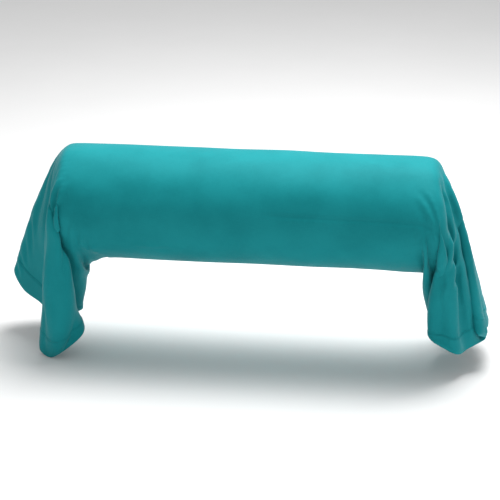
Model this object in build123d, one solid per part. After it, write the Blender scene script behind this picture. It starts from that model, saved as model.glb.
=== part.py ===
from build123d import *
import math
import os

# A bed bolster in its cotton case, lying on a narrow support with both open ends of the case
# hanging down. Millimetres. +X runs along the bolster, +Z is up, and the origin is the centre
# of the flat strip of the underside that the bolster rests on.

# Bolster in its case
case_half_width = 135.0  # half of the case's depth, front to back
case_height = 260.0
rest_half_width = 45.0  # half of the strip pressed flat by what it lies on
body_half_length = 415.0  # where the case turns down over each rounded end
crown_depth = 35.0  # how far each stuffed end swells out past the body's end

# Cloth, as stacked layers with their small folds of air
case_cloth = 1.5
hem_cloth = 3.0
ticking_cloth = 1.5
seam_room = 0.3  # between the thread of the case's seam and the ticking
filling_clearance = 0.3

# Hanging ends: how far out past the stuffed end, and how far down, each hem begins
left_reach, left_outer_fall, left_inner_drop = 100.0, 312.0, 182.0
right_reach, right_outer_fall, right_inner_drop = 98.0, 360.0, 112.0
left_lean, right_lean = 22.0, 16.0  # degrees by which the front of each mouth hangs lower
inner_reach = 10.0
inner_swell = 18.0  # how far the inner side bows out under the bolster's end
mouth_narrowing = 25.0  # how much narrower than the body each mouth is, on each side
mouth_flat = 20.0
outer_bend, inner_bend = 1.60, 1.30
tail_steps = 5
cuts_across, cuts_up = (-48.0, 48.0), (-45.0, 60.0, 150.0)  # where the hanging cloth is parted
hem_height = 45.0

# Sewing
stitch_radius = 0.7
stitch_setback = 3.0  # from the hem's top edge to its stitch line
seam_angle = -20.0  # around the section from the back, so this is low on the back
seam_width, seam_thickness, seam_setback = 12.0, 1.2, 0.3
thread_radius = 0.5
end_seam_width, end_seam_thickness = 9.0, 2.0
ticking_seam_angle = 200.0
closing_length, closing_radius = 220.0, 0.6
label_depth, label_width, label_thickness, label_gap = 30.0, 45.0, 0.5, 2.0
label_from_end = 20.0

# Stuffed end: the share of its depth and the distance in from the full section of each ring
crown_rings = ((0.0, 0.0), (0.40, 12.0), (0.80, 40.0), (1.0, 80.0))


def outline(half_width, height, flat, inset=0.0):
    """A round section pressed flat underneath, in a plane's own axes, with its underside at 0."""
    reach_y, low, high = half_width - inset, inset, height - inset
    middle, rise = (low + high) / 2, (high - low) / 2
    around = [
        (reach_y * math.cos(math.radians(a)), middle + rise * math.sin(math.radians(a)))
        for a in range(-40, 221, 20)
    ]
    top = Spline([(flat, low), *around, (-flat, low)])
    return make_face([Line((-flat, low), (flat, low)), top])


def body_section(inset, rounding=0.0):
    """The section of the body, inset by a layer of cloth and by the rounding of a stuffed end."""
    flat = rest_half_width * (1 - rounding / case_half_width)
    return outline(case_half_width, case_height, flat, inset + rounding)


def across(x):
    """The plane across the bolster at x, with its own X to the back and its own Y up."""
    return Plane(origin=(x, 0, 0), x_dir=(0, 1, 0), z_dir=(1, 0, 0))


def run(face, start, end):
    """A straight length of a section, from start to end along the bolster."""
    return extrude(across(start) * face, amount=end - start)


def tube(outer_inset, inner_inset, start, end):
    """A length of the body's section, hollow from its inner inset inwards."""
    return run(body_section(outer_inset), start, end) - run(body_section(inner_inset), start, end)


def hanging_plane(side, part_way, reach, outer_fall, inner_drop, lean):
    """The plane of one ring of a hanging end, its height there, and its unit mouth direction."""
    inner = Vector(
        side * (body_half_length + inner_reach * part_way + inner_swell * math.sin(math.pi * part_way)),
        0,
        -inner_drop * part_way**inner_bend,
    )
    outer = Vector(
        side * (body_half_length + (crown_depth + reach) * part_way),
        0,
        case_height - outer_fall * part_way**outer_bend,
    )
    up = (outer - inner).normalized()
    mouth = Vector(side * up.Z, 0, -side * up.X)
    turn = math.radians(lean * part_way**2)
    back = Vector(0, 1, 0) * math.cos(turn) - mouth * math.sin(turn)
    plane = Plane(origin=inner, x_dir=back, z_dir=back.cross(up))
    return plane, (outer - inner).length


def hanging_ring(side, part_way, shape, inset):
    """One ring of a hanging end, as a face."""
    plane, height = hanging_plane(side, part_way, *shape)
    half_width = case_half_width - mouth_narrowing * part_way
    flat = rest_half_width + (mouth_flat - rest_half_width) * part_way
    return plane * outline(half_width, height, flat, inset)


def hanging_solid(side, shape, inset):
    """The whole space inside one hanging end, from the body's end to the hem."""
    return loft([hanging_ring(side, i / tail_steps, shape, inset) for i in range(tail_steps + 1)])


def parted(shell):
    """Cloth cut into short stretches that meet face to face, each of them only gently curved."""
    far = 10 * body_half_length
    stretches = []
    for back, front in pairs((-far, *cuts_across, far)):
        for low, high in pairs((-far, *cuts_up, far)):
            block = Pos(0, (back + front) / 2, (low + high) / 2) * Box(far, front - back, high - low)
            stretches += (shell & block).solids()
    return Compound(children=stretches)


def pairs(values):
    """Each value with the next one."""
    return list(zip(values[:-1], values[1:]))


def tail(side, shape):
    """One hanging end of the case, above its hem."""
    return parted(hanging_solid(side, shape, 0.0) - hanging_solid(side, shape, case_cloth))


def mouth_direction(side, shape):
    """The way that one mouth faces, as a unit vector."""
    plane, _ = hanging_plane(side, 1.0, *shape)
    return plane.z_dir * side


def hem(side, shape):
    """The cloth turned in and doubled around one mouth."""
    facing = mouth_direction(side, shape)
    outer = extrude(hanging_ring(side, 1.0, shape, 0.0), amount=hem_height, dir=facing)
    return outer - extrude(hanging_ring(side, 1.0, shape, hem_cloth), amount=hem_height, dir=facing)


def hem_stitching(side, shape):
    """The row of thread around one hem, half sunk in the cloth."""
    facing = mouth_direction(side, shape)
    rows = []
    for inset in (-stitch_radius, stitch_radius):
        face = Pos(*(facing * (stitch_setback - stitch_radius))) * hanging_ring(side, 1.0, shape, inset)
        rows.append(extrude(face, amount=2 * stitch_radius, dir=facing))
    return rows[0] - rows[1]


def crown(side, inset):
    """The rounded, stuffed end of the bolster, from the body's end outwards."""
    depth = crown_depth - inset
    rings = [
        across(side * (body_half_length + depth * out)) * body_section(insert_gap + inset, rounding)
        for out, rounding in crown_rings
    ]
    return loft(rings)


def wall_frame(angle, wall_inset):
    """A point on the inside of a wall and the wall's outward direction there, across the bolster."""
    turn = math.radians(angle)
    half_width, rise = case_half_width - wall_inset, case_height / 2 - wall_inset
    point = Vector(half_width * math.cos(turn), case_height / 2 + rise * math.sin(turn))
    outward = Vector(rise * math.cos(turn), half_width * math.sin(turn)).normalized()
    return point, outward


def wall_pitch(angle):
    """How far round the wall one radian of angle goes."""
    turn = math.radians(angle)
    return math.hypot(case_half_width * math.sin(turn), case_height / 2 * math.cos(turn))


def bow(width):
    """How far a flat strip of this width stands off a round wall at its middle."""
    return width * width / 8 / min(case_half_width, case_height / 2)


def wall_strip(angle, wall_inset, width, thickness, start, end):
    """A flat strip along the bolster, just inside a wall."""
    point, outward = wall_frame(angle, wall_inset)
    centre = point - outward * (bow(width) + seam_setback + thickness / 2)
    slope = math.degrees(math.atan2(outward.Y, outward.X)) - 90
    return run(Pos(*centre) * Rot(0, 0, slope) * Rectangle(width, thickness), start, end)


def wall_thread(angle, wall_inset, radius, start, end):
    """A thread along the bolster, half sunk in the inside of a wall."""
    point, _ = wall_frame(angle, wall_inset)
    return run(Pos(*point) * Circle(radius), start, end)


def end_seam(side, grown=0.0):
    """The seam allowance of a stuffed end, a flat ring turned in behind the disc."""
    outer = insert_gap + ticking_cloth
    ring = body_section(outer - grown) - body_section(outer + end_seam_width + grown)
    start = side * (body_half_length - end_seam_thickness - grown)
    return run(ring, start, side * (body_half_length + grown))


def filling():
    """The fibre core, clear of the ticking and of the seams turned in on it."""
    core = run(body_section(insert_gap + filling_inset), -body_half_length, body_half_length)
    for side in (-1, 1):
        core += crown(side, filling_inset)
        core -= end_seam(side, filling_clearance)
    return core - wall_strip(
        ticking_seam_angle,
        insert_gap + ticking_cloth - filling_clearance,
        seam_width + 2 * filling_clearance,
        seam_thickness + 2 * filling_clearance,
        -body_half_length,
        body_half_length,
    )


seam_stack = bow(seam_width) + seam_setback + seam_thickness + thread_radius
insert_gap = case_cloth + seam_stack + seam_room
filling_inset = ticking_cloth + filling_clearance
left_shape = (left_reach, left_outer_fall, left_inner_drop, left_lean)
right_shape = (right_reach, right_outer_fall, right_inner_drop, right_lean)
sides = (("left", -1, left_shape), ("right", 1, right_shape))

ticking_inside = insert_gap + ticking_cloth
label_offset = seam_width / 2 + label_gap + label_depth / 2
label_start = label_from_end - body_half_length
label_angle = seam_angle + math.degrees(label_offset / wall_pitch(seam_angle))
whole_length = (-body_half_length, body_half_length)
inside_seams = body_half_length - end_seam_thickness - filling_clearance

parts = {
    "case_body": tube(0.0, case_cloth, *whole_length),
    "case_seam": wall_strip(seam_angle, case_cloth, seam_width, seam_thickness, *whole_length),
    "case_seam_stitching": wall_thread(
        seam_angle, case_cloth + seam_setback + seam_thickness, thread_radius, *whole_length
    ),
    "care_label": wall_strip(
        label_angle, case_cloth, label_depth, label_thickness, label_start, label_start + label_width
    ),
    "ticking_tube": tube(insert_gap, ticking_inside, *whole_length),
    "ticking_seam": wall_strip(
        ticking_seam_angle, ticking_inside, seam_width, seam_thickness, -inside_seams, inside_seams
    ),
    "ticking_closing_stitches": wall_thread(
        ticking_seam_angle, insert_gap, closing_radius, -closing_length / 2, closing_length / 2
    ),
    "filling": filling(),
}
for name, side, shape in sides:
    parts[f"case_tail_{name}"] = tail(side, shape)
    parts[f"hem_{name}"] = hem(side, shape)
    parts[f"hem_stitching_{name}"] = hem_stitching(side, shape)
    parts[f"ticking_end_{name}"] = crown(side, 0.0) - crown(side, ticking_cloth)
    parts[f"ticking_end_seam_{name}"] = end_seam(side)

os.makedirs("parts", exist_ok=True)
for name, part in parts.items():
    export_step(part, f"parts/{name}.step")
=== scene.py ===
import math

import bpy
import numpy as np
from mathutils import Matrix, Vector, noise


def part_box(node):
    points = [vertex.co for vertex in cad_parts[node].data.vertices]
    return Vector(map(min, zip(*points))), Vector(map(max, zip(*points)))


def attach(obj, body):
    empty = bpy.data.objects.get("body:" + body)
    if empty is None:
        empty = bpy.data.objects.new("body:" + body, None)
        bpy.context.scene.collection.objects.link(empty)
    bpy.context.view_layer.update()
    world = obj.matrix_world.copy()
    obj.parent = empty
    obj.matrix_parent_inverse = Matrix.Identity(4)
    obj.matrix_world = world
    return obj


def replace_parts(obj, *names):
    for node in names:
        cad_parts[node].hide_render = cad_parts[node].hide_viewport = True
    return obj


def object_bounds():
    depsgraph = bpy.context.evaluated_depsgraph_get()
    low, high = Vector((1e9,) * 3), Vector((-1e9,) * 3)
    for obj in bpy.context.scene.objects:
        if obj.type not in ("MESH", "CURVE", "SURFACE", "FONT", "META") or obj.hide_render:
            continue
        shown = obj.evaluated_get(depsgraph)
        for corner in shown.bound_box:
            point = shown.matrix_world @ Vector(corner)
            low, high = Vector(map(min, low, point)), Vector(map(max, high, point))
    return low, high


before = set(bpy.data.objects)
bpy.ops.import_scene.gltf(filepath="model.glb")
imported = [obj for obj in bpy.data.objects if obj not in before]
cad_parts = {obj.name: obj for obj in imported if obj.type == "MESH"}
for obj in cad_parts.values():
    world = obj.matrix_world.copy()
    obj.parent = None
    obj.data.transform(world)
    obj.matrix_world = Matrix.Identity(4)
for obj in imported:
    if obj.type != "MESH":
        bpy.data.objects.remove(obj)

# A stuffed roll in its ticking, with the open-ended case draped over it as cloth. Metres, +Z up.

cad_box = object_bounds()
SIDES = (("left", -1), ("right", 1))

# The case as it was cut and sewn
CASE_ROUND = 0.86
CASE_LENGTH = 1.66
HEM_HEIGHT = 0.045
SEAM_WIDTH = 0.012
SEAM_TURN = 70.0  # degrees round from the underside by the back

# The roll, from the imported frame
BODY_END, HALF_WIDTH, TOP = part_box("case_body")[1]
LEFT_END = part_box("ticking_end_left")[0].x - 0.010
RIGHT_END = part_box("ticking_end_right")[1].x + 0.030
MIDDLE = TOP / 2 - 0.002
HALF_DEPTH, HALF_HEIGHT = HALF_WIDTH - 0.0015, TOP / 2
RIM_RADIUS, TOP_RIM_RADIUS = 0.020, 0.042
DOME = 0.010
RESTS_TO = 0.35  # the roll's underside is flat as far as this from its middle
LEANS_FROM, LEAN = 0.26, 0.045  # the right end leans in towards its top

# The ticking inside it
TICKING_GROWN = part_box("ticking_tube")[1].y - HALF_DEPTH
END_SWELL = 0.012
END_ROUND, ROUND_SHARE = 0.018, 0.92
END_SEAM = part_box("ticking_end_right")[1].x - END_SWELL
SEAM_MIDDLE = (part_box("ticking_seam")[0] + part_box("ticking_seam")[1]) / 2
TICKING_SEAM_TURN = math.atan2(SEAM_MIDDLE.y, MIDDLE - SEAM_MIDDLE.z)

# The cloth's grid of points
ROUND_POINTS = 120
STEP = 0.0072
HELD_TO = 0.31  # the case lies still on the roll this far from its middle
RIM_AT = 0.44

# How the hanging cloth settles, in seconds and metres
TICK, TICKS = 1 / 500, 340
GRAVITY = 7.0
DAMPING, TOP_SPEED = 4, 1.5
FRICTION = 0.6
CLOTH_GAP = 0.002
LAYER_GAP = 0.0062
NEAR, LOOK_EVERY = 0.011, 8
HOLD_PASSES = 2
UNEVEN_START = 4e-4
SHEAR, BEND, LARGE_BEND = 3e-8, 1e-7, 1e-6  # how softly the cloth holds against each
RESTING_CALM, KEEPING = 0.5, 0.2

# Points of each hem: the angle round the case from its underside by the back, and where that point hangs,
# out from the end of the case's body, back from its middle, and up from the roll's underside
HEM_PATHS = {
    "left": (
        (5, (0.025, 0.030, -0.165)),
        (30, (0.063, 0.060, -0.168)),
        (55, (0.040, 0.100, -0.160)),
        (80, (0.080, 0.125, -0.145)),
        (100, (0.135, 0.118, -0.120)),
        (118, (0.177, 0.100, -0.106)),
        (138, (0.194, 0.065, -0.096)),
        (162, (0.162, 0.028, -0.128)),
        (185, (0.109, -0.005, -0.150)),
        (212, (0.068, -0.047, -0.189)),
        (240, (0.099, -0.090, -0.230)),
        (254, (0.074, -0.105, -0.241)),
        (274, (0.034, -0.112, -0.218)),
        (299, (-0.006, -0.088, -0.182)),
        (320, (0.007, -0.048, -0.168)),
        (342, (0.043, -0.014, -0.170)),
    ),
    "right": (
        (5, (0.020, 0.050, -0.153)),
        (27, (0.050, 0.080, -0.158)),
        (50, (0.025, 0.115, -0.155)),
        (75, (0.075, 0.125, -0.155)),
        (100, (0.120, 0.100, -0.152)),
        (126, (0.138, 0.050, -0.151)),
        (146, (0.143, 0.010, -0.153)),
        (176, (0.117, -0.055, -0.149)),
        (196, (0.137, -0.020, -0.172)),
        (217, (0.110, -0.060, -0.175)),
        (232, (0.085, -0.085, -0.182)),
        (245, (0.068, -0.108, -0.176)),
        (259, (0.039, -0.105, -0.161)),
        (277, (0.018, -0.085, -0.137)),
        (297, (0.040, -0.052, -0.148)),
        (317, (0.017, -0.022, -0.150)),
        (340, (0.050, 0.012, -0.157)),
    ),
}
# How far from the middle the underside of each end turns down, the part of each end, by angle, that keeps
# its first shape, the spare length of the other lines, and how far forward or back the cloth may reach
UNDERSIDE = {"left": 0.34, "right": 0.42}
KEPT, KEPT_EDGE = {"left": (100, 252), "right": (110, 268)}, 15
SLACK = {"left": 0.15, "right": 0.08}
WIDEST = 0.1490


def section(turn, grown=0.0):
    """Distance of the roll's surface from its middle line, at angles round from straight down."""
    across, up = np.sin(turn) / (HALF_DEPTH + grown), np.cos(turn) / (HALF_HEIGHT + grown)
    return 1 / np.hypot(across, up)


def soft_least(first, second, width):
    """The smaller of two values, with a rounded change from one to the other."""
    share = np.clip(0.5 + 0.5 * (second - first) / width, 0, 1)
    return second * (1 - share) + first * share - width * share * (1 - share)


def resting_section(turn, x):
    """The section, flattened underneath where the roll rests."""
    free = section(turn)
    level = np.where(np.cos(turn) > 0, MIDDLE / np.maximum(np.cos(turn), 1e-3), 1e3)
    resting = np.clip((RESTS_TO - np.abs(x)) / 0.05, 0, 1)
    return free + (soft_least(free, level, 0.02) - free) * resting


def ring_turns(count):
    """Angles round the roll that part its outline into equal lengths."""
    turn = np.linspace(0, 2 * np.pi, 2001)
    y, z = section(turn) * np.sin(turn), -section(turn) * np.cos(turn)
    walked = np.concatenate([[0], np.cumsum(np.hypot(np.diff(y), np.diff(z)))])
    return np.interp(np.arange(count) / count * walked[-1], walked, turn), walked[-1]


def case_ring(x, count=ROUND_POINTS):
    """The case round the roll at x."""
    turn, outline = ring_turns(count)
    reach = resting_section(turn, x) * CASE_ROUND / outline
    return np.stack([np.full(count, x), reach * np.sin(turn), MIDDLE - reach * np.cos(turn)], -1)


def leaned(points, way=1):
    """Points of the roll with its right end leaning in towards the top, or set straight where way is -1."""
    moved = points.copy()
    high = 0.5 + 0.5 * np.clip((points[..., 2] - MIDDLE) / HALF_HEIGHT, -1, 1)
    near_end = np.clip((points[..., 0] - LEANS_FROM) / (RIM_AT - LEANS_FROM), 0, 1) ** 2
    moved[..., 0] -= way * LEAN * high * near_end
    return moved


# ---------------------------------------------------------------- the drape


def links(shape, step_round, step_along, rest, softness, far_only=False):
    """Pairs of cloth points that hold their distance, in batches that share no point."""
    count, rows = shape
    starts = np.arange(max(0, -step_along), rows - max(0, step_along))
    i, j = np.meshgrid(np.arange(count), starts, indexing="ij")
    first = i * rows + j
    second = (i + step_round) % count * rows + j + step_along
    colour = (i // step_round if step_round else j // step_along) % 2
    length = np.broadcast_to(rest, first.shape)
    return [
        (first[colour == c], second[colour == c], length[colour == c], softness, far_only) for c in (0, 1)
    ]


def hold(points, batches, rate):
    """Moves each pair towards its own distance."""
    for first, second, rest, softness, far_only in batches:
        apart = points[first] - points[second]
        length = np.sqrt((apart * apart).sum(1)) + 1e-12
        error = length - rest
        if far_only:
            error = np.minimum(error, 0)
        move = apart * (error / ((2 + softness * rate) * length))[:, None]
        points[first] -= move
        points[second] += move


def tail_links(rows, leaves_at, share):
    """Every link of one hanging end, from the row held on the roll to the mouth."""
    shape = (ROUND_POINTS, rows)
    gap = CASE_ROUND / ROUND_POINTS
    hangs = HELD_TO + STEP * (np.arange(rows - 1) + 0.5) > leaves_at[:, None]
    along = STEP * (1 - (1 - share[:, None]) * hangs)
    across = np.hypot(gap, (along + np.roll(along, -1, 0)) / 2)
    batches = links(shape, 1, 0, gap, 0) + links(shape, 0, 1, along, 0)
    batches += links(shape, 1, 1, across, SHEAR) + links(shape, 1, -1, across, SHEAR)
    batches += links(shape, 2, 0, 2 * gap, BEND)
    batches += links(shape, 0, 2, along[:, :-1] + along[:, 1:], BEND)
    batches += links(shape, 4, 0, 4 * gap * 0.985, LARGE_BEND, far_only=True)
    return batches


def push_out(points, before):
    """Moves points out of the stuffed roll, and drags on those that slide on it."""
    straight = leaned(points, -1)
    x, y, z = straight[:, 0], points[:, 1], points[:, 2] - MIDDLE
    out = np.hypot(y, z) + 1e-9
    surface = resting_section(np.arctan2(y, -z), x) + CLOTH_GAP
    rim = RIM_RADIUS + (TOP_RIM_RADIUS - RIM_RADIUS) * np.clip(z / out, 0, 1) ** 2
    dome = DOME * np.clip(1 - (out / surface) ** 2, 0, 1)
    past_end = np.abs(x) - dome - (np.where(x < 0, -LEFT_END, RIGHT_END) + CLOTH_GAP - rim - DOME)
    past_side = out - (surface - rim)
    corner = (past_end > 0) & (past_side > 0)
    reach = np.hypot(np.maximum(past_end, 0), np.maximum(past_side, 0)) + 1e-9
    depth = rim - np.where(corner, reach, np.maximum(past_end, past_side))
    inside = depth > 0
    end_share = np.where(corner, past_end / reach, past_end > past_side)
    side_share = np.where(corner, past_side / reach, past_end <= past_side)
    normal = np.stack([end_share * np.sign(x), side_share * y / out, side_share * z / out], -1)
    push = np.where(inside, depth, 0)
    points += push[:, None] * normal
    moved = points - before
    slide = moved - (moved * normal).sum(1, keepdims=True) * normal
    far = np.sqrt((slide * slide).sum(1)) + 1e-12
    points -= slide * np.where(inside, np.minimum(1, (FRICTION * push + 2e-5) / far), 0)[:, None]


def near_pairs(points, rows, reach):
    """Pairs of points nearer than reach that aren't close neighbours in the cloth."""
    cell = np.floor((points - points.min(0)) / reach).astype(np.int64) + 1
    size = cell.max(0) + 2
    key = (cell[:, 0] * size[1] + cell[:, 1]) * size[2] + cell[:, 2]
    order = np.argsort(key, kind="stable")
    ranked = key[order]
    near = (-1, 0, 1)
    offsets = [(a * size[1] + b) * size[2] + c for a in near for b in near for c in near]
    found = []
    for offset in (o for o in offsets if o >= 0):
        low = np.searchsorted(ranked, ranked + offset, "left") if offset else np.arange(len(ranked)) + 1
        count = np.maximum(np.searchsorted(ranked, ranked + offset, "right") - low, 0)
        first = np.repeat(np.arange(len(ranked)), count)
        second = np.repeat(low, count) + np.arange(count.sum()) - np.repeat(np.cumsum(count) - count, count)
        first, second = order[first], order[second]
        apart = points[first] - points[second]
        round_gap = np.abs(first // rows - second // rows)
        round_gap = np.minimum(round_gap, ROUND_POINTS - round_gap)
        along_gap = np.abs(first % rows - second % rows)
        kept = ((apart * apart).sum(1) < reach * reach) & ((round_gap > 2) | (along_gap > 2))
        found.append(np.stack([first[kept], second[kept]], 1))
    return np.concatenate(found)


def part_layers(points, pairs, thickness, before):
    """Keeps layers of cloth from passing through each other."""
    first, second = pairs[:, 0], pairs[:, 1]
    apart = points[first] - points[second]
    length = np.sqrt((apart * apart).sum(1)) + 1e-9
    close = length < thickness
    first, second, apart, length = first[close], second[close], apart[close], length[close]
    normal = apart / length[:, None]
    moved = (points[first] - before[first]) - (points[second] - before[second])
    slide = moved - (moved * normal).sum(1, keepdims=True) * normal
    shift = apart * ((thickness - length) / length * 0.5)[:, None] - 0.15 * slide
    total = len(points)
    share = np.maximum(np.bincount(first, minlength=total) + np.bincount(second, minlength=total), 1) ** 0.7
    for axis in range(3):
        push = np.bincount(first, shift[:, axis], total) - np.bincount(second, shift[:, axis], total)
        points[:, axis] += push / share


def hem_curve(side, path):
    """Where each point of the mouth hangs: a smooth closed curve through the path's points."""
    before = [(at - 360, place) for at, place in path[-2:]]
    after = [(at + 360, place) for at, place in path[:2]]
    path = before + list(path) + after
    at = np.array([p[0] for p in path], float)
    points = np.array([(side * (BODY_END + out), back, up) for _, (out, back, up) in path])
    slope = np.gradient(points, at, axis=0)
    turn = np.arange(ROUND_POINTS) * 360 / ROUND_POINTS
    k = np.searchsorted(at, turn, "right") - 1
    span = (at[k + 1] - at[k])[:, None]
    s = (turn - at[k])[:, None] / span
    curve = (2 * s**3 - 3 * s**2 + 1) * points[k] + (s**3 - 2 * s**2 + s) * span * slope[k]
    return curve + (3 * s**2 - 2 * s**3) * points[k + 1] + (s**3 - s**2) * span * slope[k + 1]


def evenly(curve, shares):
    """Points at shares of a curve's length, and that length."""
    walked = np.concatenate([[0], np.cumsum(np.linalg.norm(np.diff(curve, axis=0), axis=1))])
    return along_line(curve, walked, shares * walked[-1]), walked[-1]


def hung(name, side, hem, keeps, place):
    """A first shape for one hanging end, where each line of cloth leaves the roll, and its length share."""
    turn = ring_turns(ROUND_POINTS)[0]
    leaves_at = RIM_AT + (UNDERSIDE[name] - RIM_AT) * np.clip(np.cos(turn), 0, 1)
    if side > 0:
        leaves_at = leaves_at - LEAN * (0.5 - 0.5 * np.cos(turn))
    rim = case_ring(0.0)
    rim[:, 0] = side * leaves_at
    top = (rim[:, 2:] - MIDDLE) / HALF_HEIGHT
    out, up = np.array([side, 0.0, 0.0]), np.array([0, 0, 1.0])
    first = rim + out * (0.03 + 0.03 * np.clip(top, 0, 1) - 0.01 * np.clip(-top, 0, 1))
    last = hem + up * (0.12 + 0.04 * top) + (rim - hem) * np.array([0.25, 0.1, 0])
    free = CASE_LENGTH / 2 - leaves_at
    s = np.clip((place - leaves_at[:, None]) / free[:, None], 0, 1)
    tail = np.stack([case_ring(side * x) for x in place], 1)
    share = np.zeros(ROUND_POINTS)
    bend = np.linspace(0, 1, 200)[:, None]
    for i in range(ROUND_POINTS):
        curve = (1 - bend) ** 3 * rim[i] + 3 * (1 - bend) ** 2 * bend * first[i]
        curve += 3 * (1 - bend) * bend**2 * last[i] + bend**3 * hem[i]
        hangs = s[i] > 0
        tail[i, hangs], length = evenly(curve, s[i, hangs])
        share[i] = length * (1 + SLACK[name] * (1 - keeps[i])) / free[i]
    share = np.minimum(share, 1)
    for _ in range(4):
        share = (np.roll(share, 1) + share + np.roll(share, -1)) / 3
    return tail, leaves_at, share


def calmed(place, leaves_at, keeps):
    """How strongly each point is drawn back to the first shape at each tick."""
    calm = np.clip((leaves_at[:, None] - 0.008 - place) / 0.03, 0, 1) * RESTING_CALM
    calm += keeps[:, None] * np.clip((place - leaves_at[:, None] + 0.02) / 0.02, 0, 1) * KEEPING
    return calm.reshape(-1, 1)


def drape_tail(name, side):
    """One hanging end as its cloth settles, a grid of points round by along."""
    rows = int((CASE_LENGTH / 2 - HELD_TO) / STEP) + 1
    place = HELD_TO + STEP * np.arange(rows)
    hem = hem_curve(side, HEM_PATHS[name])
    turn = np.arange(ROUND_POINTS) * 360 / ROUND_POINTS
    low, high = KEPT[name]
    keeps = np.clip((turn - low) / KEPT_EDGE, 0, 1) * np.clip((high - turn) / KEPT_EDGE, 0, 1)
    tail, leaves_at, share = hung(name, side, hem, keeps, place)
    first = tail.reshape(-1, 3).copy()
    uneven = np.random.default_rng(3 + side).normal(0, UNEVEN_START, tail.shape)
    tail += uneven * (np.arange(rows) > 2)[:, None]
    points = tail.reshape(-1, 3)
    batches = tail_links(rows, leaves_at, share)
    held = (np.arange(ROUND_POINTS)[:, None] * rows + np.arange(2)).ravel()
    mouth = np.arange(ROUND_POINTS) * rows + rows - 1
    calm = calmed(place, leaves_at, keeps)
    speed = np.zeros_like(points)
    for n in range(TICKS):
        before = points.copy()
        speed[:, 2] -= GRAVITY * TICK
        speed *= math.exp(-DAMPING * TICK)
        fast = np.sqrt((speed * speed).sum(1, keepdims=True))
        speed *= np.minimum(1, TOP_SPEED / np.maximum(fast, 1e-9))
        points += speed * TICK
        if n % LOOK_EVERY == 0:
            pairs = near_pairs(points, rows, NEAR)
        for _ in range(HOLD_PASSES):
            hold(points, batches, 1 / TICK**2)
            points[held] = first[held]
            points[mouth] = hem
        points += calm * (first - points)
        part_layers(points, pairs, LAYER_GAP, before)
        push_out(points, before)
        points[:, 1] = np.clip(points[:, 1], -WIDEST, WIDEST)
        speed = (points - before) / TICK
    return points.reshape(ROUND_POINTS, rows, 3)


def smoothed(grid, times=2):
    """The grid without its smallest ripples, and no smaller."""
    for share in (0.5, -0.51) * times:
        beside = (np.roll(grid, 1, 0) + np.roll(grid, -1, 0)) / 2
        along = grid.copy()
        along[:, 1:-1] = (grid[:, 2:] + grid[:, :-2]) / 2
        grid = grid + share * ((beside + along) / 2 - grid)
    return grid


def finer(grid, round_it):
    """Twice as many points along axis 1, or round axis 0, on smooth curves."""
    if round_it:
        a, b, c, d = (np.roll(grid, k, 0) for k in (1, 0, -1, -2))
        made = np.empty((2 * grid.shape[0], *grid.shape[1:]))
        made[0::2] = grid
        made[1::2] = (9 * (b + c) - a - d) / 16
        return made
    longer = np.concatenate([2 * grid[:, :1] - grid[:, 1:2], grid, 2 * grid[:, -1:] - grid[:, -2:-1]], 1)
    made = np.empty((grid.shape[0], 2 * grid.shape[1] - 1, 3))
    made[:, 0::2] = grid
    made[:, 1::2] = (9 * (longer[:, 1:-2] + longer[:, 2:-1]) - longer[:, :-3] - longer[:, 3:]) / 16
    return made


def case_grid():
    """The whole case, from mouth to mouth, and each row's place along the cloth."""
    tails = {name: finer(finer(smoothed(drape_tail(name, side)), True), False) for name, side in SIDES}
    count = tails["left"].shape[0]
    body_rows = np.linspace(-HELD_TO, HELD_TO, 47)[1:-1]
    body = np.stack([case_ring(x, count) for x in body_rows], 1)
    tail_rows = HELD_TO + STEP / 2 * np.arange(tails["left"].shape[1])
    grid = np.concatenate([tails["left"][:, ::-1], body, tails["right"]], 1)
    return grid, np.concatenate([-tail_rows[::-1], body_rows, tail_rows])


# ---------------------------------------------------------------- shapes and meshes

STITCH_PITCH, STITCH_LENGTH, THREAD_RADIUS = 0.003, 0.0023, 0.0003
STITCH_SIDES, STITCH_RINGS = 6, 7
# Section of the case's seam allowance: shares of its width, and millimetres off the cloth
ALLOWANCE_PROFILE = (
    (0.1, -1.0),
    (0.3, -0.7),
    (0.6, -0.6),
    (1.0, -0.6),
    (1.02, -1.1),
    (1.0, -1.6),
    (0.6, -1.6),
    (0.3, -1.5),
)
# Sections of the ticking's seams: millimetres from the seam, and millimetres in from the ticking
END_SEAM_PROFILE = ((0, 0.6), (4, 0.7), (8, 0.8), (8.3, 1.3), (8, 1.9), (4, 1.9), (0.2, 1.8), (-0.1, 1.2))
SIDE_SEAM_PROFILE = ((0, 0.7), (4, 0.7), (10, 0.7), (10.3, 1.2), (10, 1.8), (4, 1.8), (0.2, 1.7), (-0.1, 1.2))
COVER_POINTS, SEAM_POINTS, CORE_POINTS = 260, 180, 140  # round the roll


def normals_of(grid):
    """Outward directions at each point of a grid that is closed round axis 0."""
    beside = np.roll(grid, -1, 0) - np.roll(grid, 1, 0)
    along = np.gradient(grid, axis=1)
    normal = np.cross(beside, along)
    return normal / (np.linalg.norm(normal, axis=2, keepdims=True) + 1e-12)


def bump(distance, width):
    """A smooth hump, 1 at its middle."""
    return np.exp(-((distance / width) ** 2))


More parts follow.
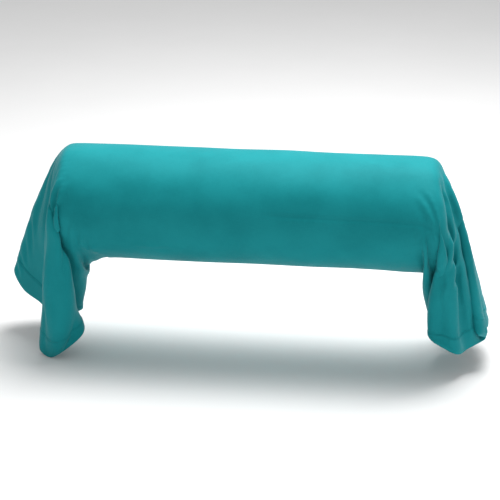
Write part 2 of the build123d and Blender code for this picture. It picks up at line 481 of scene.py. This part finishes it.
# Deep folds of the hanging ends: their width in degrees, their height, and then places along the cloth with
# the angle there and the share of the height
FOLDS = (
    (6, -0.011, ((-0.66, 275, 0), (-0.60, 273, 0.9), (-0.53, 270, 1), (-0.49, 266, 0.5), (-0.46, 256, 0))),
    (
        6,
        0.007,
        (
            (-0.80, 262, 0),
            (-0.627, 255, 1),
            (-0.55, 247, 1),
            (-0.504, 243, 0.9),
            (-0.454, 232, 0.5),
            (-0.43, 226, 0),
        ),
    ),
    (
        6,
        -0.015,
        (
            (0.43, 205, 0),
            (0.472, 216, 0.8),
            (0.50, 225, 1),
            (0.54, 228, 1),
            (0.612, 226, 0.9),
            (0.73, 225, 0.6),
            (0.80, 225, 0.3),
        ),
    ),
    (6, 0.007, ((0.49, 238, 0), (0.53, 238, 1), (0.60, 238, 1), (0.70, 240, 0.6), (0.78, 240, 0))),
    (5, -0.012, ((0.49, 252, 0), (0.54, 252, 1), (0.60, 256, 0.8), (0.67, 260, 0))),
)
# Dents and low ridges in the front: place, angle, length, width in degrees, and depth
DENTS = (
    (0.125, 303, 0.010, 7, 0.0022),
    (-0.200, 301, 0.009, 4, 0.0022),
    (-0.235, 296, 0.030, 3, -0.0016),
    (-0.330, 268, 0.035, 4, -0.0012),
)
UNEVENNESS, CREASE_DEPTH, SEAM_DEPTH = 0.0022, 0.0016, 0.0010


def folded(turn, x):
    """Height of the deep folds at each angle and place along the cloth."""
    height = 0
    for width, deep, path in FOLDS:
        place, angle, share = zip(*path)
        height = height + deep * np.interp(x, place, share) * bump(turn - np.interp(x, place, angle), width)
    return height


def pressed(grid, rows):
    """Fine shape of the case: soft unevenness, one pressed crease, dents, folds and the sunk seam line."""
    count = grid.shape[0]
    turn = np.arange(count)[:, None] / count * 360
    x = rows[None, :]
    spots = [Vector((p[0] * 7, p[1] * 16, p[2] * 16)) for p in grid.reshape(-1, 3)]
    height = UNEVENNESS * np.array([noise.noise(spot) for spot in spots]).reshape(grid.shape[:2])
    crease = bump(turn - (257 + 6 * np.clip(x - 0.05, 0, 1)), 1.6) * np.clip((x - 0.02) / 0.06, 0, 1)
    height -= CREASE_DEPTH * crease * np.clip((0.46 - x) / 0.03, 0, 1)
    for place, angle, length, width, depth in DENTS:
        height -= depth * bump(x - place, length) * bump(turn - angle, width)
    height += folded(turn, x)
    seam = int(round(SEAM_TURN / 360 * count))
    height[seam] -= SEAM_DEPTH
    return grid + normals_of(grid) * height[..., None], seam


def object_of(name, points, faces, material, uv=None, caps=()):
    """A mesh object from points and faces, smooth, with its slot's material."""
    mesh = bpy.data.meshes.new(name)
    mesh.from_pydata(points.reshape(-1, 3).tolist(), [], faces.tolist() + [list(cap) for cap in caps])
    if uv is not None:
        layer = mesh.uv_layers.new(name="cloth")
        corners = np.zeros(len(mesh.loops), np.int64)
        mesh.loops.foreach_get("vertex_index", corners)
        layer.data.foreach_set("uv", uv.reshape(-1, 2)[corners].astype(np.float32).ravel())
    mesh.shade_smooth()
    mesh.materials.append(material)
    made = bpy.data.objects.new(name, mesh)
    bpy.context.scene.collection.objects.link(made)
    return made


def grid_faces(count, rows, round_it=True, along_too=False):
    """Faces of a grid of points, closed round axis 0, and round axis 1 where asked."""
    index = np.arange(count * rows).reshape(count, rows)
    beside = np.roll(index, -1, 0)
    if not round_it:
        index, beside = index[:-1], beside[:-1]
    ahead, beside_ahead = np.roll(index, -1, 1), np.roll(beside, -1, 1)
    quads = np.stack([index, beside, beside_ahead, ahead], -1)
    return (quads if along_too else quads[:, :-1]).reshape(-1, 4)


def flat_places(around, along):
    """Where each point of a grid was on the flat cloth, in metres."""
    return np.stack(np.broadcast_arrays(around[:, None], along[None, :]), -1)


def round_case(count):
    """Places round the case on the flat cloth."""
    return np.arange(count) / count * CASE_ROUND


def at_rows(grid, rows, wanted):
    """The grid's points at given places along the cloth."""
    low = np.clip(np.searchsorted(rows, wanted) - 1, 0, len(rows) - 2)
    share = ((wanted - rows[low]) / (rows[low + 1] - rows[low]))[None, :, None]
    return grid[:, low] * (1 - share) + grid[:, low + 1] * share


def hem_profile():
    """Section of a hem: distance in from the mouth in metres, and height off the cloth in millimetres."""
    up = HEM_HEIGHT
    sewn = [(up + 0.0004, 0.0), (up, 0.6), (up - 0.0012, 1.1), (up - 0.0022, 0.8), (up - 0.003, 0.0)]
    outside = [(up - 0.0038, 0.8), (up - 0.005, 1.15)]
    outside += [(distance, 1.0) for distance in np.linspace(up - 0.009, 0.0035, 10)]
    edge = [(0.0012, 0.95), (0.0002, 0.5), (-0.0004, -0.2), (0.0002, -0.9), (0.0012, -1.3)]
    inside = [(distance, -1.2) for distance in np.linspace(0.0035, up - 0.009, 10)]
    return sewn + outside + edge + inside + [(up - 0.003, -0.9), (up - 0.0008, -0.9), (up + 0.0002, -0.5)]


def hem_band(name, side, grid, normal, rows, material):
    """The cloth turned in and sewn down: a doubled band at the mouth, with a soft folded edge."""
    mouth = rows[-1] if side > 0 else rows[0]
    wanted = np.array([mouth - side * distance for distance, _ in hem_profile()])
    offset = np.array([away for _, away in hem_profile()]) / 1000
    points = at_rows(grid, rows, wanted) + at_rows(normal, rows, wanted) * offset[None, :, None]
    faces = grid_faces(*points.shape[:2], along_too=True)
    uv = flat_places(round_case(len(grid)), wanted)
    return object_of(f"hem_band_{name}", points, faces, material, uv)


def along_line(values, walked, at):
    """Values of a line's points at distances walked along it."""
    return np.stack([np.interp(at, walked, values[:, axis]) for axis in range(3)], -1)


def stitches(name, line, outward, material):
    """A row of thread stitches along a closed or open line, each sinking into the cloth at its ends."""
    walked = np.concatenate([[0], np.cumsum(np.linalg.norm(np.diff(line, axis=0), axis=1))])
    centres = np.arange(STITCH_PITCH / 2, walked[-1], STITCH_PITCH)
    middle, normal = along_line(line, walked, centres), along_line(outward, walked, centres)
    ahead = along_line(line, walked, centres + 0.0005) - along_line(line, walked, centres - 0.0005)
    ahead /= np.linalg.norm(ahead, axis=1, keepdims=True)
    normal /= np.linalg.norm(normal, axis=1, keepdims=True)
    along = np.linspace(-1, 1, STITCH_RINGS)
    girth = THREAD_RADIUS * np.sqrt(np.clip(1 - np.abs(along) ** 4, 0.04, 1))
    turn = (np.arange(STITCH_SIDES) / STITCH_SIDES * 2 * np.pi)[:, None]
    local = np.stack(
        [
            np.broadcast_to(along * STITCH_LENGTH / 2, (STITCH_SIDES, STITCH_RINGS)),
            np.cos(turn) * girth,
            np.sin(turn) * girth + THREAD_RADIUS * (0.9 - 1.1 * along**2),
        ],
        -1,
    )
    axes = np.stack([ahead, np.cross(ahead, normal), normal], 1)
    points = middle[:, None, None, :] + np.einsum("rak,nkx->nrax", local, axes)
    size = STITCH_SIDES * STITCH_RINGS
    starts = size * np.arange(len(centres))
    faces = np.concatenate([grid_faces(STITCH_SIDES, STITCH_RINGS) + start for start in starts])
    ends = np.arange(size).reshape(STITCH_SIDES, STITCH_RINGS)
    caps = [ends[::-1, 0] + start for start in starts] + [ends[:, -1] + start for start in starts]
    return object_of(name, points, faces, material, caps=[cap.tolist() for cap in caps])


def seam_allowance(grid, normal, rows, seam, material):
    """The two raw edges of the case's seam, pressed to one side inside it."""
    reach = SEAM_WIDTH / (CASE_ROUND / grid.shape[0])
    kept = (rows > rows[0] + HEM_HEIGHT / 2) & (rows < rows[-1] - HEM_HEIGHT / 2)
    lines = []
    for share, away in ALLOWANCE_PROFILE:
        at = seam + share * reach
        low, part = int(at), at - int(at)
        place = grid[low] * (1 - part) + grid[low + 1] * part
        lines.append((place + normal[low] * away / 1000)[kept])
    points = np.array(lines)
    uv = flat_places(np.array([p[0] for p in ALLOWANCE_PROFILE]) * SEAM_WIDTH, rows[kept])
    return object_of("case_seam_allowance", points, grid_faces(*points.shape[:2]), material, uv)


def roll_ring(x, grown, turn, share=1.0):
    """The stuffed roll's outline at x, drawn in towards its rounded ends."""
    past = np.clip((abs(x) - (END_SEAM - END_ROUND)) / END_ROUND, 0, 1)
    drawn_in = END_ROUND * (1 - math.sqrt(1 - ROUND_SHARE * past**2))
    reach = (resting_section(turn, x) + grown - drawn_in) * share
    return np.stack([np.full(len(turn), x), reach * np.sin(turn), MIDDLE - reach * np.cos(turn)], -1)


def turns(count):
    """Angles evenly round the roll, from straight down."""
    return np.arange(count) / count * 2 * np.pi


def closer_at_ends(half, count):
    """Places from -half to half, closer together near both."""
    return np.sin(np.linspace(-1, 1, count) * math.pi / 2) * half


def puckers(turn, side):
    """Uneven gathers round an end seam, from -1 to 1."""
    uneven = [noise.noise(Vector((6 * math.cos(t), 6 * math.sin(t), 4.0 * side))) for t in turn]
    return np.cos(38 * turn + 3 * np.array(uneven)) * (0.6 + 0.8 * np.abs(uneven))


def ticking_cover(material):
    """The side of the ticking, gathered a little at both end seams and sunk at its long seam."""
    turn = turns(COVER_POINTS)
    xs = closer_at_ends(END_SEAM, 121)
    points = leaned(np.stack([roll_ring(x, TICKING_GROWN, turn) for x in xs], 1))
    from_seam = np.angle(np.exp(1j * (turn - TICKING_SEAM_TURN)))
    sunk = 0.0003 * bump(from_seam[:, None], 0.02) * np.ones(len(xs))
    for side in (-1, 1):
        sunk += 0.0011 * (1 - puckers(turn, side))[:, None] * bump(side * xs - END_SEAM, 0.018)
    points -= normals_of(points) * sunk[..., None]
    uv = flat_places(round_case(COVER_POINTS), xs)
    return object_of("ticking_cover", points, grid_faces(COVER_POINTS, len(xs)), material, uv), points


def ticking_disc(name, side, rim, material):
    """One swollen end of the ticking, drawn in by its seam."""
    shares = np.concatenate([np.linspace(1, 0.85, 10), np.linspace(0.82, 0.03, 22)])
    middle = np.array([rim[:, 0].mean(), 0, rim[:, 2].mean()])
    swell = END_SWELL * (1 - shares**2) ** 0.8
    gathered = 0.0013 * puckers(turns(COVER_POINTS), side)[:, None] * bump(shares - 0.95, 0.05) * (shares < 1)
    points = middle + (rim - middle)[:, None] * shares[None, :, None]
    points[..., 0] += side * (swell + gathered)
    faces = grid_faces(COVER_POINTS, len(shares))[:, ::side]
    cap = (np.arange(COVER_POINTS) * len(shares) + len(shares) - 1)[::-side]
    return object_of(f"ticking_disc_{name}", points, faces, material, points[..., 1:], [cap.tolist()])


def ticking_disc_seam(name, side, material):
    """The raw edges of an end seam, turned in against the filling."""
    turn = turns(SEAM_POINTS)
    along, away = np.array(END_SEAM_PROFILE).T / 1000
    rings = [roll_ring(side * (END_SEAM - a), TICKING_GROWN - b, turn) for a, b in zip(along, away)]
    points = leaned(np.stack(rings, 1))
    faces = grid_faces(SEAM_POINTS, len(along), along_too=True)
    uv = flat_places(round_case(SEAM_POINTS), along)
    return object_of(f"ticking_disc_seam_{name}", points, faces, material, uv)


def ticking_side_seam(material):
    """The raw edges of the ticking's long seam, pressed to one side inside it."""
    around, away = np.array(SIDE_SEAM_PROFILE).T / 1000
    turn = TICKING_SEAM_TURN + around / HALF_DEPTH
    xs = np.linspace(-END_SEAM + 0.010, END_SEAM - 0.010, 90)
    points = leaned(np.stack([roll_ring(x, TICKING_GROWN - away, turn) for x in xs], 1))
    starts = np.arange(len(around)) * len(xs)
    caps = [starts[::-1].tolist(), (starts + len(xs) - 1).tolist()]
    uv = flat_places(around, xs)
    return object_of("ticking_side_seam", points, grid_faces(len(around), len(xs)), material, uv, caps)


def fibre_core(material):
    """The filling, lumpy where tufts of fibre press on the ticking."""
    turn = turns(CORE_POINTS)
    shares = np.linspace(0.03, 0.97, 16)
    inner_end = END_SEAM - 0.004
    ends = inner_end + END_SWELL * 0.8 * (1 - shares**2) ** 0.8
    xs = np.concatenate([-ends, closer_at_ends(inner_end, 111), ends[::-1]])
    share = np.concatenate([shares, np.ones(111), shares[::-1]])
    grown = TICKING_GROWN - 0.0048
    points = np.stack([roll_ring(x, grown, turn, part) for x, part in zip(xs, share)], 1)
    lumps = np.array([noise.noise(Vector(p * 30)) for p in points.reshape(-1, 3)]).reshape(points.shape[:2])
    from_middle = (points - np.array([0, 0, MIDDLE]))[..., 1:]
    points[..., 1:] -= from_middle * (0.012 * (0.5 + 0.5 * lumps))[..., None]
    points = leaned(points)
    starts = np.arange(CORE_POINTS) * len(xs)
    caps = [starts[::-1].tolist(), (starts + len(xs) - 1).tolist()]
    return object_of("fibre_filling", points, grid_faces(CORE_POINTS, len(xs)), material, caps=caps)


# ---------------------------------------------------------------- materials

WHITE = (1, 1, 1)
BAND_SPACING = 0.314  # metres between the bands of a wave texture at scale 1


def shader(name, roughness, sheen, sheen_tint):
    """A cloth-like material, with its tree and its shader."""
    material = bpy.data.materials.new(name)
    material.use_nodes = True
    principled = material.node_tree.nodes["Principled BSDF"]
    principled.inputs["Roughness"].default_value = roughness
    principled.inputs["Specular IOR Level"].default_value = 0.08
    principled.inputs["Sheen Weight"].default_value = sheen
    principled.inputs["Sheen Roughness"].default_value = 0.4
    principled.inputs["Sheen Tint"].default_value = (*sheen_tint, 1)
    return material, material.node_tree, principled


def node(tree, kind, **values):
    """A new node, with its sockets or settings given by name."""
    made = tree.nodes.new(kind)
    for key, value in values.items():
        if key in made.inputs:
            made.inputs[key].default_value = value
        else:
            setattr(made, key, value)
    return made


def between(tree, value, dark, light, target, low=0.0, high=1.0):
    """Colours target from dark to light as value goes from low to high."""
    ramp = node(tree, "ShaderNodeValToRGB")
    first, second = ramp.color_ramp.elements
    first.position, second.position = low, high
    first.color, second.color = (*dark, 1), (*light, 1)
    tree.links.new(value, ramp.inputs["Fac"])
    tree.links.new(ramp.outputs["Color"], target.inputs["Base Color"])


def relief(tree, height, strength, distance, target, under=None):
    """Bumps target's surface by height, on top of another bump where one is given."""
    made = node(tree, "ShaderNodeBump", Strength=strength, Distance=distance)
    tree.links.new(height, made.inputs["Height"])
    if under:
        tree.links.new(under.outputs["Normal"], made.inputs["Normal"])
    if target:
        tree.links.new(made.outputs["Normal"], target.inputs["Normal"])
    return made


def joined(tree, operation, first, second):
    """Two textures' values, multiplied or added."""
    made = node(tree, "ShaderNodeMath", operation=operation)
    tree.links.new(first.outputs["Fac"], made.inputs[0])
    tree.links.new(second.outputs["Fac"], made.inputs[1])
    return made


def crossing_threads(tree, cloth, thread):
    """The crowns of a plain weave."""
    waves = []
    for direction in ("X", "Y"):
        wave = node(tree, "ShaderNodeTexWave", wave_type="BANDS", bands_direction=direction, Detail=1.0)
        wave.inputs["Scale"].default_value = BAND_SPACING / thread
        wave.inputs["Distortion"].default_value = 0.6
        tree.links.new(cloth.outputs["UV"], wave.inputs["Vector"])
        waves.append(wave)
    return joined(tree, "MULTIPLY", *waves)


def slubs(tree, cloth):
    """Thicker stretches of thread, both ways of the weave."""
    both = []
    for stretch in ((1200, 60, 1), (60, 1200, 1)):
        mapping = node(tree, "ShaderNodeMapping", Scale=stretch)
        slub = node(tree, "ShaderNodeTexNoise", Scale=1.0, Detail=2.0)
        tree.links.new(cloth.outputs["UV"], mapping.inputs["Vector"])
        tree.links.new(mapping.outputs["Vector"], slub.inputs["Vector"])
        both.append(slub)
    return joined(tree, "ADD", *both)


def noise_at(tree, place, **values):
    """Noise fixed to the object."""
    made = node(tree, "ShaderNodeTexNoise", **values)
    tree.links.new(place.outputs["Object"], made.inputs["Vector"])
    return made


def woven(name, colour, shade, roughness, sheen, sheen_tint, thread, unevenness):
    """Plain-woven cotton: crossing threads, slubs, uneven dye, and the soft dimples of washed cloth."""
    material, tree, principled = shader(name, roughness, sheen, sheen_tint)
    cloth = node(tree, "ShaderNodeUVMap", uv_map="cloth")
    place = node(tree, "ShaderNodeTexCoord")
    weave, slub = crossing_threads(tree, cloth, thread), slubs(tree, cloth)
    dye = noise_at(tree, place, Scale=9.0, Detail=4.0, Roughness=0.55)
    tone = node(tree, "ShaderNodeMath", operation="MULTIPLY_ADD")
    tone.inputs[1].default_value = 0.35
    tree.links.new(slub.outputs[0], tone.inputs[0])
    tree.links.new(dye.outputs["Fac"], tone.inputs[2])
    between(tree, tone.outputs[0], shade, colour, principled, 0.60, 0.98)
    dimples = noise_at(tree, place, Scale=26.0, Detail=5.0, Roughness=0.5)
    large = relief(tree, dimples.outputs["Fac"], unevenness, 0.004, None)
    middling = relief(tree, slub.outputs[0], 0.25, 0.0003, None, large)
    relief(tree, weave.outputs[0], 0.35, 0.0002, principled, middling)
    return material


def banded(name, roughness, sheen, sheen_tint, direction, scale, dark, light, strength):
    """Fine bands of colour and relief, as in twisted thread or ribbed tape."""
    material, tree, principled = shader(name, roughness, sheen, sheen_tint)
    place = node(tree, "ShaderNodeTexCoord")
    wave = node(tree, "ShaderNodeTexWave", wave_type="BANDS", bands_direction=direction, Scale=scale)
    tree.links.new(place.outputs["Object"], wave.inputs["Vector"])
    between(tree, wave.outputs["Fac"], dark, light, principled)
    relief(tree, wave.outputs["Fac"], strength, 0.0002, principled)
    return material


def thread_of(name, colour, shade):
    """Twisted sewing thread."""
    return banded(name, 0.45, 0.3, colour, "DIAGONAL", 900.0, shade, colour, 0.4)


def satin_tape(name, colour):
    """Woven label tape with fine ribs."""
    dark = tuple(0.85 * c for c in colour)
    return banded(name, 0.35, 0.4, WHITE, "X", 600.0, dark, colour, 0.3)


def fibre(name, colour):
    """Crimped polyester fibre in loose tufts."""
    material, tree, principled = shader(name, 0.8, 0.6, WHITE)
    place = node(tree, "ShaderNodeTexCoord")
    crimp = noise_at(tree, place, Scale=160.0, Detail=6.0, Distortion=2.5)
    between(tree, crimp.outputs["Fac"], tuple(0.7 * c for c in colour), colour, principled)
    relief(tree, crimp.outputs["Fac"], 0.8, 0.002, principled)
    return material


# ---------------------------------------------------------------- camera, light and floor

CAMERA_AZIMUTH, CAMERA_ELEVATION = math.radians(7), math.radians(22)
CAMERA_DISTANCE, VIEW_WIDTH, SENSOR = 4.2, 1.19, 36
LOOKS_AT = Vector((-0.014, 0, 0.018))
FLOOR_GAP, FLOOR_REACH = 0.025, 6


def place_camera():
    """The camera in front of the roll, a little to its right and above it."""
    level, up = math.cos(CAMERA_ELEVATION), math.sin(CAMERA_ELEVATION)
    back = Vector((math.sin(CAMERA_AZIMUTH) * level, -math.cos(CAMERA_AZIMUTH) * level, up))
    camera = bpy.data.objects.new("camera", bpy.data.cameras.new("camera"))
    camera.data.sensor_width = SENSOR
    camera.data.lens = SENSOR * CAMERA_DISTANCE / VIEW_WIDTH
    camera.location = LOOKS_AT + back * CAMERA_DISTANCE
    camera.rotation_mode = "QUATERNION"
    camera.rotation_quaternion = (-back).to_track_quat("-Z", "Y")
    bpy.context.scene.collection.objects.link(camera)
    bpy.context.scene.camera = camera


def place_lights():
    """A broad light above and behind, to the right, and an even white surround."""
    light = bpy.data.objects.new("softbox", bpy.data.lights.new("softbox", "AREA"))
    light.data.energy, light.data.size = 88, 1.5
    light.location = (0.4, 0.6, 2.3)
    light.rotation_euler = (Vector((0, 0, 0.05)) - light.location).to_track_quat("-Z", "Y").to_euler()
    bpy.context.scene.collection.objects.link(light)
    world = bpy.data.worlds.new("surround")
    world.use_nodes = True
    world.node_tree.nodes["Background"].inputs["Color"].default_value = (*WHITE, 1)
    world.node_tree.nodes["Background"].inputs["Strength"].default_value = 0.52
    bpy.context.scene.world = world
    bpy.context.scene.view_settings.view_transform = "Standard"


def lay_floor():
    """Pale paper a little under the hanging ends."""
    level = cad_box[0].z - FLOOR_GAP
    directions = ((-1, -1), (1, -1), (1, 1), (-1, 1))
    corners = np.array([(x * FLOOR_REACH, y * FLOOR_REACH, level) for x, y in directions])
    paper, tree, principled = shader("floor_paper", 0.9, 0, WHITE)
    grain = node(tree, "ShaderNodeTexNoise", Scale=40.0, Detail=4.0)
    between(tree, grain.outputs["Fac"], (0.86, 0.86, 0.86), (0.9, 0.9, 0.9), principled)
    object_of("floor", corners, np.array([[0, 1, 2, 3]]), paper)


# ---------------------------------------------------------------- the pieces


def finished(piece, slot, *nodes):
    """Fixes a piece to the part, and hides the CAD nodes that it stands for. The slot is not used."""
    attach(piece, "root")
    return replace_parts(piece, *nodes)


def add_ticking(cotton, filling):
    """The stuffed ticking, and the filling in it. Gives the ticking's side."""
    cover, cover_points = ticking_cover(cotton)
    finished(cover, "ticking_cotton", "ticking_tube")
    for name, side in SIDES:
        rim = cover_points[:, -1 if side > 0 else 0]
        disc = finished(ticking_disc(name, side, rim, cotton), "ticking_cotton", f"ticking_end_{name}")
        finished(ticking_disc_seam(name, side, cotton), "ticking_cotton", f"ticking_end_seam_{name}")
    finished(ticking_side_seam(cotton), "ticking_cotton", "ticking_seam")
    finished(fibre_core(filling), "fibre_filling", "filling")
    return cover


def add_hem(name, side, grid, normal, rows, cotton, thread):
    """One hem, with a row of stitches on each face of it."""
    band = hem_band(name, side, grid, normal, rows, cotton)
    made = [finished(band, "case_cotton", f"hem_{name}")]
    mouth = rows[-1] if side > 0 else rows[0]
    at = np.array([mouth - side * (HEM_HEIGHT - 0.003)])
    line, facing = at_rows(grid, rows, at)[:, 0], at_rows(normal, rows, at)[:, 0]
    line, facing = np.concatenate([line, line[:1]]), np.concatenate([facing, facing[:1]])
    for face, away, way in (("outside", 0.0002, 1), ("inside", -0.0009, -1)):
        row = stitches(f"hem_stitches_{name}_{face}", line + facing * away, way * facing, thread)
        made.append(finished(row, "case_thread", f"hem_stitching_{name}"))
    return made


def add_case(cotton, thread):
    """The draped case, with its hems, its seam and their stitches."""
    grid, rows = case_grid()
    grid, seam = pressed(grid, rows)
    normal = normals_of(grid)
    inner = (rows > rows[0] + HEM_HEIGHT * 0.6) & (rows < rows[-1] - HEM_HEIGHT * 0.6)
    shown = grid[:, inner]
    faces = grid_faces(*shown.shape[:2])
    case = object_of("case_cloth", shown, faces, cotton, flat_places(round_case(len(grid)), rows[inner]))
    finished(case, "case_cotton", "case_body", "case_tail_left", "case_tail_right")
    sewn = []
    for name, side in SIDES:
        sewn += add_hem(name, side, grid, normal, rows, cotton, thread)
    allowance = seam_allowance(grid, normal, rows, seam, cotton)
    sewn.append(finished(allowance, "case_cotton", "case_seam"))
    line = grid[seam + 2, inner] - normal[seam + 2, inner] * 0.0017
    row = stitches("case_seam_stitches", line, -normal[seam + 2, inner], thread)
    sewn.append(finished(row, "case_thread", "case_seam_stitching"))


place_camera()
place_lights()
lay_floor()
teal = woven(
    "case_cotton",
    colour=(0.008, 0.272, 0.298),
    shade=(0.004, 0.222, 0.244),
    roughness=0.6,
    sheen=0.10,
    sheen_tint=(0.75, 0.95, 1.0),
    thread=0.00035,
    unevenness=0.10,
)
teal_thread = thread_of("case_thread", (0.010, 0.22, 0.24), (0.004, 0.12, 0.13))
white = woven(
    "ticking_cotton",
    colour=(0.84, 0.82, 0.77),
    shade=(0.74, 0.72, 0.67),
    roughness=0.8,
    sheen=0.2,
    sheen_tint=WHITE,
    thread=0.0005,
    unevenness=0.2,
)
white_thread = thread_of("ticking_thread", (0.86, 0.84, 0.80), (0.6, 0.58, 0.54))
label = satin_tape("label_tape", (0.86, 0.86, 0.84))
fluff = fibre("fibre_filling", (0.9, 0.9, 0.89))

cover = add_ticking(white, fluff)
add_case(teal, teal_thread)
for name, material in (("care_label", label), ("ticking_closing_stitches", white_thread)):
    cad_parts[name].data.materials.clear()
    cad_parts[name].data.materials.append(material)
